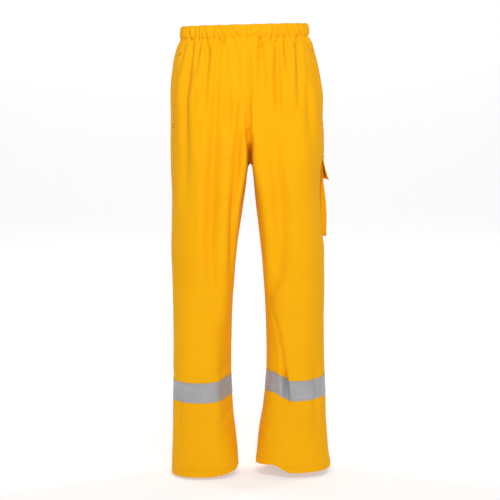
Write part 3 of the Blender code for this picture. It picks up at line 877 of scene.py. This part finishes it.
for side_name, side_sign in (("left", 1), ("right", -1)):
    leg_panel(side_name + "_front_panel", side_sign, True)
    leg_panel(side_name + "_back_panel", side_sign, False)


# ---- waistband ---------------------------------------------------------------------------
def waist_places():
    """Places round one side of the waist, from front to back."""
    row = BODY.row(1, BAND_Z)
    count = int((row.back_end - row.front_end) / (FINE_STEP * 0.6))
    return np.linspace(row.front_end, row.back_end, count)


def band_relief(row, s, height):
    """Puckers of the gathered casing; height runs from 0 at the stitching to 1 at the top edge."""
    out = np.zeros_like(s)
    above = height * (TOP_Z - BAND_Z)
    for place, slant, depth, width, _ in BODY.gathers[row.side]:
        centre = place * row.waist_scale - slant * 0.8 * above
        strength = BAND_GAIN * depth * (1.15 - 0.80 * height)
        out += strength * crease((s - centre) / (width * (0.8 + 0.4 * height)))
    for x, slant, depth, width in BAND_TUCKS[row.side]:
        centre = row.front_place(x + slant * above)
        strength = TUCK_GAIN * depth * math.sin(math.pi * min(1.0, 0.25 + 0.70 * height))
        out += strength * crease((s - centre) / width)
    out += 0.0009 * BODY.small_noise(s * 2.2 + 2.0 * row.side, np.full_like(s, above * 2))
    return soft_floor(out, -0.0036) * smoothstep(0.0, 0.008, row.from_ends(s))


def waist_loop(z, out, height, weight):
    """One closed loop of the casing; weight says how much of the puckering it takes."""
    s = waist_places()
    sides = []
    for side in (1, -1):
        row = BODY.row(side, BAND_Z)
        points = row.points(s, out + weight * band_relief(row, s, height))
        points[:, 2] = z + 0.0005 * np.sin(s * 160) + waist_tilt(points[:, 0])
        sides.append(points)
    left, right = sides
    for end in (0, -1):
        left[end] = (left[end] + right[end]) / 2
    return np.concatenate([left, right[-2:0:-1]])


# The casing's cross-section, up the outside, over the top, down behind the elastic, and back
# up and down on its near side: how much puckering it takes, and (share of the height, out).
CASING = (
    (1.0, ((0.0, 0.0), (0.045, -0.0006), (0.08, 0.0004), (0.14, 0.0016), (0.22, 0.0023),
           (0.32, 0.0027), (0.42, 0.0028), (0.52, 0.0027), (0.62, 0.0025), (0.72, 0.0021),
           (0.81, 0.0014), (0.88, 0.0006), (0.94, -0.0005), (0.98, -0.0020), (1.0, -0.0036))),
    (0.6, ((0.985, -0.0052), (0.93, -0.0068), (0.80, -0.0082), (0.55, -0.0088), (0.30, -0.0084),
           (0.10, -0.0074), (0.03, -0.0066), (0.0, -0.0068))),
    (0.4, ((0.0, -0.0056), (0.10, -0.0060), (0.55, -0.0076), (0.85, -0.0070), (0.93, -0.0056))),
    (0.85, ((0.93, -0.0026), (0.80, -0.0008), (0.50, 0.0004), (0.12, -0.0010))),
)


def waistband():
    bottom, top = BAND_Z - 0.0012, TOP_Z - 0.0006
    loops = [waist_loop(bottom - 0.0002, -0.0008, 0.0, 0.4)]
    for weight, section in CASING:
        for share, out in section:
            loops.append(waist_loop(bottom + share * (top - bottom), out, share, weight))
    widths = [abs(b[0][2] - a[0][2]) + 0.001 for a, b in zip(loops[:-1], loops[1:])]
    obj = ring("waistband_casing_cloth", loops, running_length(loops[5]), np.cumsum([0] + widths), True)
    dress(obj, BAND, "trousers", "waistband_cloth", "waistband_casing")
    thread = Thread()
    s = waist_places()
    for side in (1, -1):
        row = BODY.row(side, BAND_Z)
        points = row.points(s, -0.0004 + band_relief(row, s, 0.0))
        points[:, 2] = bottom + 0.0016 + waist_tilt(points[:, 0])
        thread.run(points, [row.normal(p) for p in s], pitch=CLOSE_PITCH, length=0.0024)
    thread.build("waistband_stitching", THREAD)


def elastic():
    """The flat elastic inside the casing, a little wavy where the casing is gathered on it."""
    low, high = BAND_Z + 0.0035, TOP_Z - 0.0045
    ribs = 0.00012 * np.sin(waist_places() * 3000)
    section = ((0.0, -0.0046), (0.03, -0.0041), (0.97, -0.0041), (1.0, -0.0046), (0.97, -0.0054),
               (0.03, -0.0054))
    loops = [waist_loop(low + share * (high - low), out + ribs, 0.5, 0.30) for share, out in section]
    levels = np.array([0.0, 0.001, 0.023, 0.024, 0.025, 0.047])
    obj = ring("waist_elastic_knit", loops, running_length(loops[1]), levels, True)
    dress(obj, ELASTIC, "trousers", "elastic", "waist_elastic")


waistband()
elastic()


# ---- seam, hem and slit stitching --------------------------------------------------------
def seam_threads():
    side_seams, inseams, hems, centre = Thread(), Thread(), Thread(), Thread()

    def upward(thread, side, heights, place):
        rows = [BODY.row(side, z) for z in heights]
        thread.follow([(row, place(row), ON_CLOTH) for row in rows])

    for side in (1, -1):
        heights = np.arange(0.004, BAND_Z - 0.003, 0.012)
        for offset in (0.0016, 0.0082):
            upward(side_seams, side, heights, lambda row, o=offset: row.seam + o)
        heights = np.arange(0.004, CROTCH_Z - 0.012, 0.012)
        for offset in (0.0018, 0.0080):
            upward(inseams, side, heights, lambda row, o=offset: row.back_end - o)
        row = BODY.row(side, HEM_HEIGHT)
        hems.follow([(row, s, ON_CLOTH) for s in np.linspace(row.front_end, row.back_end, 240)])
    heights = np.arange(CROTCH_Z + 0.02, BAND_Z - 0.003, 0.010)
    for offset in (0.0016, 0.0078):
        upward(centre, 1, heights, lambda row, o=offset: row.front_end + o)
        upward(centre, -1, heights, lambda row, o=offset: row.back_end - o)
    side_seams.build("side_seam_stitching", THREAD)
    inseams.build("inseam_stitching", THREAD)
    hems.build("hem_stitching", THREAD)
    centre.build("centre_seam_stitching", THREAD)


def slit_threads():
    thread = Thread()
    for side in (1, -1):
        rows = [BODY.row(side, z) for z in np.arange(SLIT_BOTTOM - 0.004, SLIT_TOP + 0.004, 0.006)]
        for offset in (0.0022, 0.0085):
            places = [(row, slit_edge(row) - offset) for row in rows]
            thread.follow([(row, s, slit_lift(row, s) + ON_CLOTH) for row, s in places])
    thread.build("slit_edge_stitching", THREAD)


def bartack(name, side, z, length, slant, *nodes):
    """A bar of close satin stitches across the end of a slit."""
    thread = Thread()
    for share in np.linspace(-0.5, 0.5, 15):
        height = z + slant * share
        row = BODY.row(side, height)
        s = row.seam + (share + 0.47) * length
        middle = row.point(s, 0.0007)
        ahead = BODY.row(side, height + 0.001).point(s + 0.0003, 0.0007)
        thread.stitch(middle, ahead - middle, row.normal(s), 0.0030, 0.0013, 0.0008)
    thread.build(name + "_thread", BARTACK, *nodes)


seam_threads()
slit_threads()
bartack("right_upper_bartack", -1, 1.049, 0.019, -0.004, "right_upper_bartack")
bartack("right_lower_bartack", -1, 0.873, 0.016, 0.0, "right_lower_bartack")
bartack("right_second_lower_bartack", -1, 0.881, 0.014, 0.0)
bartack("left_upper_bartack", 1, 1.052, 0.015, -0.004, "left_upper_bartack")
bartack("left_lower_bartack", 1, 0.875, 0.014, 0.0, "left_lower_bartack")


# ---- what lies behind the slits ----------------------------------------------------------
FACING_LOW, FACING_HIGH = 0.866, 1.054
FACING_FRONT, FACING_BACK = -0.007, 0.026  # from the seam
BAG_LOW, BAG_HIGH = 0.870, 1.048           # at the slit
BAG_START, BAG_REACH = 0.012, 0.108        # forward of the seam, and on from there
BAG_DEPTH, BAG_HALF = 0.0260, 0.0090       # its middle under the outline, and half its fullness
BAG_CLOTH, BAG_LEVELS = 0.0011, 18


def facing(side_name, side):
    lines = []
    for z in spaced(FACING_LOW, FACING_HIGH, PANEL_STEP):
        row = BODY.row(side, z)
        s = spaced(row.seam + FACING_FRONT, row.seam + FACING_BACK, PANEL_STEP)
        out = BODY.relief(row, s) - 0.0024 * (1 - smoothstep(0.0, 0.010, s - row.seam))
        lines.append((row, s, out - 0.0016, out - 0.0026))
    obj = cloth_sheet(side_name + "_slit_facing_cloth", lines, flip=side < 0)
    dress(obj, FACING, "trousers", "facing_cloth", side_name + "_opening_facing")


def bag_loop(side, reach, inset):
    """The bag's outline at one reach from the slit: up one wall and down the other."""
    share = reach / BAG_REACH
    drop, close = 0.044 * share, 1 - 0.55 * share ** 4
    heights = np.linspace(BAG_LOW - drop + inset, BAG_HIGH - 0.4 * drop - inset, BAG_LEVELS)
    bulge = np.sin(np.linspace(0, math.pi, BAG_LEVELS)) ** 0.5
    walls = []
    for z, swell in zip(heights, bulge):
        row = BODY.row(side, z)
        half = max(0.0006, BAG_HALF * swell * close - inset)
        crumple = 0.0010 * float(BODY.small_noise(reach * 2 + side, z))
        s = np.full(2, row.seam - BAG_START - max(reach - inset, 0.0))
        walls.append(row.points(s, crumple - BAG_DEPTH + np.array([half, -half])))
    walls = np.array(walls)
    return np.concatenate([walls[:, 0], walls[::-1, 1]])


def bag(side_name, side):
    """A pocket bag: two walls that meet in a rounded front edge, open towards the slit."""
    reaches = spaced(0.0, BAG_REACH, 0.006 * COARSE)
    loops, count = len(reaches), 2 * BAG_LEVELS
    points = np.array([bag_loop(side, reach, inset)
                       for inset in (0.0, BAG_CLOTH) for reach in reaches]).reshape(-1, 3)
    faces = []

    def add(quads, flip):
        quads = np.stack(quads, axis=-1)
        faces.append(quads[:, ::-1] if flip else quads)

    def bridge(a, b, flip):
        i = np.arange(count)
        j = (i + 1) % count
        add((a * count + i, a * count + j, b * count + j, b * count + i), flip)

    turned = side > 0
    for k in range(loops - 1):
        bridge(k, k + 1, turned)
    for k in range(loops, 2 * loops - 1):
        bridge(k, k + 1, not turned)
    bridge(0, loops, not turned)
    for last, flip in ((loops - 1, turned), (2 * loops - 1, not turned)):
        i, base = np.arange(BAG_LEVELS - 1), last * count
        add((base + i, base + i + 1, base + count - 2 - i, base + count - 1 - i), not flip)
    uvs = np.stack([np.repeat(np.tile(reaches, 2), count), points[:, 2]], axis=-1)
    obj = make_object(side_name + "_pocket_bag_cloth", points, np.concatenate(faces), uvs, sharp=60)
    dress(obj, BAGGING, "trousers", "bag_cloth", side_name + "_pocket_bag")


for side_name, side_sign in (("left", 1), ("right", -1)):
    facing(side_name, side_sign)
    bag(side_name, side_sign)


# ---- reflective bands --------------------------------------------------------------------
def reflective_band(side_name, side):
    middle = BODY.row(side, (TAPE_LOW + TAPE_HIGH) / 2)
    girth = middle.back_end - middle.front_end
    share = np.linspace(0.0, 1.0, int(girth / (0.0026 * COARSE)))[:-1]
    heights = spaced(TAPE_LOW, TAPE_HIGH, 0.0022 * COARSE)
    faces, backs = [], []
    for z in heights:
        row = BODY.row(side, z)
        s = row.front_end + share * (row.back_end - row.front_end)
        out = BODY.relief(row, s)
        edge = min(z - TAPE_LOW, TAPE_HIGH - z)
        roll = -0.0004 * bell(edge / 0.0012)
        pucker = 0.00022 * np.sin(s * 380 + 2.0 * np.sin(s * 47)) * bell((edge - 0.0032) / 0.003)
        faces.append(row.points(s, out + 0.0012 + roll + pucker))
        backs.append(row.points(s, out + 0.0004))
    levels = np.concatenate([heights, heights[::-1]])
    obj = ring(side_name + "_reflective_band", faces + backs[::-1], share * girth, levels, side < 0)
    dress(obj, TAPE, "trousers", "reflective_tape", side_name + "_reflective_tape")


def band_threads():
    thread = Thread()
    for side in (1, -1):
        for z in (TAPE_LOW + 0.0030, TAPE_HIGH - 0.0030):
            row = BODY.row(side, z)
            places = np.linspace(row.front_end, row.back_end, 220)
            thread.follow([(row, s, 0.0013) for s in places], pitch=CLOSE_PITCH, length=0.0025)
    thread.build("reflective_band_stitching", GREY_THREAD)


reflective_band("left", 1)
reflective_band("right", -1)
band_threads()


# ---- cargo pocket on the wearer's left thigh ---------------------------------------------
STAND_OFF = Curve(POCKET_DEPTH, 0.012)
CALM = 0.35               # the pocket takes this share of the leg's relief


def pocket_place(z, share):
    row = BODY.row(1, z)
    return row, row.seam - BODY.seam_shift[1](z) + POCKET_START + np.asarray(share) * POCKET_WIDTH


def pocket_out(share, z):
    """How far the pocket's face stands off the leg."""
    share = np.asarray(share, dtype=float)
    lower = (POCKET_MOUTH - z) / (POCKET_MOUTH - POCKET_BOTTOM)
    plump = math.sin(math.pi * min(1.0, max(0.0, lower))) ** 1.2
    plump = 0.0030 * np.sin(math.pi * np.clip(share, 0, 1)) ** 0.8 * plump
    wrinkle = 0.0012 * BODY.wide_noise(share * 0.22 + 4.0, np.full_like(share, z * 1.6))
    wrinkle += 0.0006 * BODY.small_noise(share * 0.16 + 9.0, np.full_like(share, z))
    sag = 0.0010 * np.sin(share * 9.0 + 20 * z) * lower
    return STAND_OFF(z) + 0.0010 + plump + wrinkle + sag


def pocket_point(share, z, out):
    """One world point, `out` beyond the pocket's face."""
    row, s = pocket_place(z, share)
    return row.point(s, pocket_out(share, z) + out, CALM)


def stitched_edge(edge, thick, start, end, line):
    """A turned edge is a little thicker, with a groove along its stitching."""
    return thick * (1 - smoothstep(start, end, edge)) - 0.0004 * bell((edge - line) / 0.0008)


def pocket_face():
    share = np.linspace(0.0, 1.0, int(POCKET_WIDTH / (0.0026 * COARSE)))
    lines = []
    for z in spaced(POCKET_BOTTOM + 0.0005, POCKET_MOUTH, 0.0026 * COARSE):
        row, s = pocket_place(z, share)
        out = pocket_out(share, z) + CALM * BODY.relief(row, s)
        edge = np.minimum(np.minimum(share, 1 - share) * POCKET_WIDTH, z - POCKET_BOTTOM)
        hem = 0.0005 * smoothstep(POCKET_MOUTH - 0.0225, POCKET_MOUTH - 0.0215, z)
        hem -= 0.0004 * bell((z - POCKET_MOUTH + 0.021) / 0.0010)
        roll = -0.0008 * bell(edge / 0.0012)
        ridge = stitched_edge(edge, 0.0005, 0.0045, 0.0062, 0.0052)
        lines.append((row, s, out + ridge + hem + roll + 0.0008, out - 0.0004))
    obj = cloth_sheet("cargo_pocket_face_cloth", lines)
    dress(obj, SHELL, "pocket_front", "shell_cloth", "cargo_pocket_face")
    thread = Thread()

    def stitches(track, out):
        places = [pocket_place(z, share) for share, z in track]
        thread.run([pocket_point(*place, out) for place in track], [row.normal(s) for row, s in places])

    for inset in (0.0020, 0.0072):
        near, low = inset / POCKET_WIDTH, POCKET_BOTTOM + inset
        track = [(near, z) for z in np.linspace(POCKET_MOUTH - 0.002, low, 30)]
        track += [(t, low) for t in np.linspace(near, 1 - near, 30)[1:]]
        track += [(1 - near, z) for z in np.linspace(low, POCKET_MOUTH - 0.002, 30)[1:]]
        stitches(track, 0.0012)
    stitches([(t, POCKET_MOUTH - 0.021) for t in np.linspace(0.02, 0.98, 50)], 0.0011)
    thread.build("cargo_pocket_stitching", THREAD, body="pocket_front")


def wall_plane(corner):
    """A point where one side wall leaves the leg, and one 4.5 mm out from it along the normal of the
    plane that holds that wall's foot and the far wall's lower end.
    """
    def foot(share, z):
        row, s = pocket_place(z, share)
        return Vector(row.point(s, 0.0006, CALM))

    low_z, high_z = POCKET_BOTTOM + 0.008, POCKET_MOUTH - 0.065
    low = foot(corner, low_z)
    across = foot(1.0, low_z) - foot(0.0, low_z)
    normal = across.cross(foot(corner, high_z) - low).normalized()
    if normal.x < 0:
        normal = -normal
    return tuple(low), tuple(low + normal * 0.0045)


def pocket_bellows():
    """The folding wall in two halves that meet under the pocket.

    From the leg it goes in, turns at half depth, and comes back to the face's edge.
    """
    profile = ((0.00, 0.0), (0.10, 0.0006), (0.25, 0.0018), (0.42, 0.0034), (0.48, 0.0036),
               (0.54, 0.0032), (0.72, 0.0014), (0.90, 0.0004), (1.00, 0.0001))
    foot, low = 0.0006, POCKET_BOTTOM + 0.0005

    def line(place, thick):
        share, z, sideways, upwards = place
        points = []
        for reach, tuck in profile:
            row, s = pocket_place(z + (tuck + thick) * upwards,
                                  share + (tuck + thick) * sideways / POCKET_WIDTH)
            face = pocket_out(share, z) - 0.0006
            points.append(row.point(s, foot + reach * (face - foot), CALM))
        return points

    for name, corner in (("front", 0.0), ("rear", 1.0)):
        inward = 1.0 - 2.0 * corner
        heights = np.linspace(POCKET_MOUTH - 0.0005, POCKET_BOTTOM + 0.010, 46)
        track = [(corner, z, inward, 0.0) for z in heights] + [(corner, low, 0.75 * inward, 0.75)]
        track += [(corner + inward * t, low, 0.0, 1.0) for t in np.linspace(0.06, 0.4995, 19)]
        outer, inner = ([line(place, thick) for place in track] for thick in (0.0, 0.0008))
        uv = [[(0.005 * k, reach * 0.03) for reach, _ in profile] for k in range(len(track))]
        obj = sheet("cargo_pocket_bellows_" + name, outer, inner, uv, flip=corner == 0.0, sharp=70)
        dress(obj, SHELL, None, "shell_cloth", "cargo_pocket_bellows")
        start, end = wall_plane(corner)
        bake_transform(obj)


def flap_point(share, down, lift):
    """Points of the flap; down is measured from the hinge line, negative above it."""
    share = np.atleast_1d(np.asarray(share, dtype=float))
    slope = FLAP_SLOPE * float(smoothstep(0.000, 0.010, down))
    row, start = pocket_place(FLAP_HINGE_Z - down * math.cos(slope), 0.0)
    s = start - FLAP_MARGIN + share * FLAP_WIDTH
    wave = 0.0016 * (0.5 + np.sin(share * 5.2 + 0.6)) * max(0.0, down) / FLAP_LENGTH
    stand = 0.0009 + max(0.0, down - 0.003) * math.sin(FLAP_SLOPE) + wave
    return row.points(s, stand + lift + CALM * BODY.relief(row, s) * (down < 0.006))


def cargo_flap():
    share = np.linspace(0.0, 1.0, int(FLAP_WIDTH / (0.0022 * COARSE)))
    outward = BODY.row(1, 0.79).normal(0.03)
    outer, inner, uv = [], [], []
    for down in spaced(-0.0045, FLAP_LENGTH, 0.0022 * COARSE):
        below = max(0.0, down - (FLAP_LENGTH - FLAP_CORNER))
        cut = FLAP_CORNER - math.sqrt(max(0.0, FLAP_CORNER ** 2 - below ** 2)) if below > 0 else 0.0
        cut = min(cut, FLAP_CORNER * 0.9) / FLAP_WIDTH
        t = cut + share * (1 - 2 * cut)
        edge = np.minimum(np.minimum(t, 1 - t) * FLAP_WIDTH, FLAP_LENGTH - down)
        ridge = stitched_edge(edge, 0.0006, 0.0048, 0.0064, 0.0056)
        raised = ridge - 0.0007 * bell(edge / 0.0010) + 0.0005 * (1 - smoothstep(-0.002, 0.0, down))
        outer.append(flap_point(t, down, 0.0017) + np.outer(raised, outward))
        inner.append(flap_point(t, down, 0.0002) - np.outer(0.3 * ridge, outward))
        uv.append(np.stack([t * FLAP_WIDTH, np.full_like(t, down)], axis=-1))
    obj = sheet("cargo_flap_cloth", outer, inner, uv, flip=True)
    dress(obj, SHELL, None, "shell_cloth", "cargo_flap")
    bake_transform(obj)

    def stitched(name, track, lift, normal, **ride):
        thread = Thread()
        thread.run([flap_point(t, down, lift)[0] for t, down in track], [normal] * len(track))
        thread.build(name, THREAD, **ride)

    track = [(t, -0.0026) for t in np.linspace(0.02, 0.98, 60)]
    stitched("cargo_flap_sewn_edge_stitching", track, 0.0024, BODY.row(1, FLAP_HINGE_Z).normal(0.03))
    inset = 0.0056
    near, low = inset / FLAP_WIDTH, FLAP_LENGTH - inset
    track = [(near, down) for down in np.linspace(0.010, low - 0.006, 16)]
    track += [(t, low) for t in np.linspace(near + 0.035, 1 - near - 0.035, 40)]
    track += [(1 - near, down) for down in np.linspace(low - 0.006, 0.010, 16)]
    tilted = outward + np.array([0, 0, 0.3])
    stitched("cargo_flap_edge_stitching", track, 0.0020, tilted, body="flap")


def soft_patch(name, points_of, material, slot, body):
    """A patch of hook or loop tape with rounded edges."""
    grid = np.linspace(-1.0, 1.0, 15)

    def height(u, v):
        return 1.0 - 0.6 * float(smoothstep(0.86, 1.0, max(abs(u), abs(v))))

    outer = [[points_of(u, v, height(u, v)) for u in grid] for v in grid]
    inner = [[points_of(u, v, 0.0) for u in grid] for v in grid]
    uv = [[(u * 0.013, v * 0.009) for u in grid] for v in grid]
    obj = sheet(name + "_nap", outer, inner, uv, sharp=60)
    dress(obj, material, body, slot, name)


def patches():
    half = 0.013 / POCKET_WIDTH
    for name, centre in (("front", 0.2), ("rear", 0.8)):

        def hook(u, v, height, c=centre):
            share = ((c + u * half) * POCKET_WIDTH + FLAP_MARGIN) / FLAP_WIDTH
            return flap_point(share, 0.043 - v * 0.009, -0.0001 - 0.0009 * height)[0]

        def loop(u, v, height, c=centre):
            return pocket_point(c + u * half, 0.7395 + v * 0.0095, 0.0008 + 0.0009 * height)

        soft_patch(name + "_hook_patch", hook, HOOK_NAP_PAINTED_SHADE, "hook_tape", "flap")
        soft_patch(name + "_loop_patch", loop, LOOPS, "loop_tape", "pocket_front")


pocket_face()
pocket_bellows()
cargo_flap()
patches()


# ---- floor, lights and camera ------------------------------------------------------------
WHITE = (1.0, 1.0, 1.0, 1.0)


def stage_floor():
    """A paper sweep: flat floor, a quarter round, and a wall behind."""
    size, back, rise, bend = 12.0, 7.0, 8.0, 1.2
    profile = [(-size, 0.0)]
    for angle in np.linspace(0, math.pi / 2, 14):
        profile.append((back - bend + bend * math.sin(angle), bend - bend * math.cos(angle)))
    profile.append((back, rise))
    vertices = [(x, y, z - 0.0004) for y, z in profile for x in (-size, size)]
    faces = [(2 * i, 2 * i + 1, 2 * i + 3, 2 * i + 2) for i in range(len(profile) - 1)]
    mesh = bpy.data.meshes.new("studio_floor")
    mesh.from_pydata(vertices, [], faces)
    mesh.shade_smooth()
    floor = bpy.data.objects.new("studio_floor", mesh)
    bpy.context.scene.collection.objects.link(floor)
    material, _, shader = new_material("studio_paper")
    set_inputs(shader, Base_Color=(0.60, 0.60, 0.60, 1.0), Emission_Color=WHITE,
               Emission_Strength=0.47, Roughness=0.9)
    mesh.materials.append(material)


def area_light(name, place, target, size, power):
    light = bpy.data.lights.new(name, "AREA")
    light.shape = "RECTANGLE"
    light.size, light.size_y = size
    light.energy = power
    obj = bpy.data.objects.new(name, light)
    obj.location = place
    obj.rotation_euler = (Vector(target) - Vector(place)).to_track_quat("-Z", "Y").to_euler()
    bpy.context.scene.collection.objects.link(obj)


def light_and_camera():
    scene = bpy.context.scene
    world = bpy.data.worlds.new("studio_world")
    world.use_nodes = True
    set_inputs(world.node_tree.nodes["Background"], Color=WHITE, Strength=0.29)
    scene.world = world
    area_light("key", (0.25, -2.3, 2.45), (0, 0, 1.12), (1.1, 0.9), 45)
    area_light("fill", (-1.4, -2.7, 2.3), (0, 0, 0.90), (1.2, 1.2), 8)
    area_light("backdrop_left", (-2.2, 1.4, 3.0), (-1.0, 5.0, 0.2), (2.5, 1.2), 70)
    area_light("backdrop_right", (2.2, 1.4, 3.0), (1.0, 5.0, 0.2), (2.5, 1.2), 70)
    scene.view_settings.view_transform = "Standard"
    scene.view_settings.look = "None"
    scene.view_settings.exposure = 0.0
    camera = bpy.data.cameras.new("photo_camera")
    camera.lens, camera.sensor_width = 119.7, 36.0
    camera.shift_x = 0.005
    camera.clip_end = 60
    obj = bpy.data.objects.new("photo_camera", camera)
    place = Vector((-MIDDLE_X, -4.1 - MIDDLE_Y, 1.05))
    target = Vector((-MIDDLE_X, -MIDDLE_Y, 0.563))
    obj.matrix_world = (target - place).to_track_quat("-Z", "Y").to_matrix().to_4x4()
    obj.location = place
    obj.rotation_euler.rotate_axis("Z", math.radians(-0.8))
    bpy.context.scene.collection.objects.link(obj)
    scene.camera = obj


stage_floor()
light_and_camera()
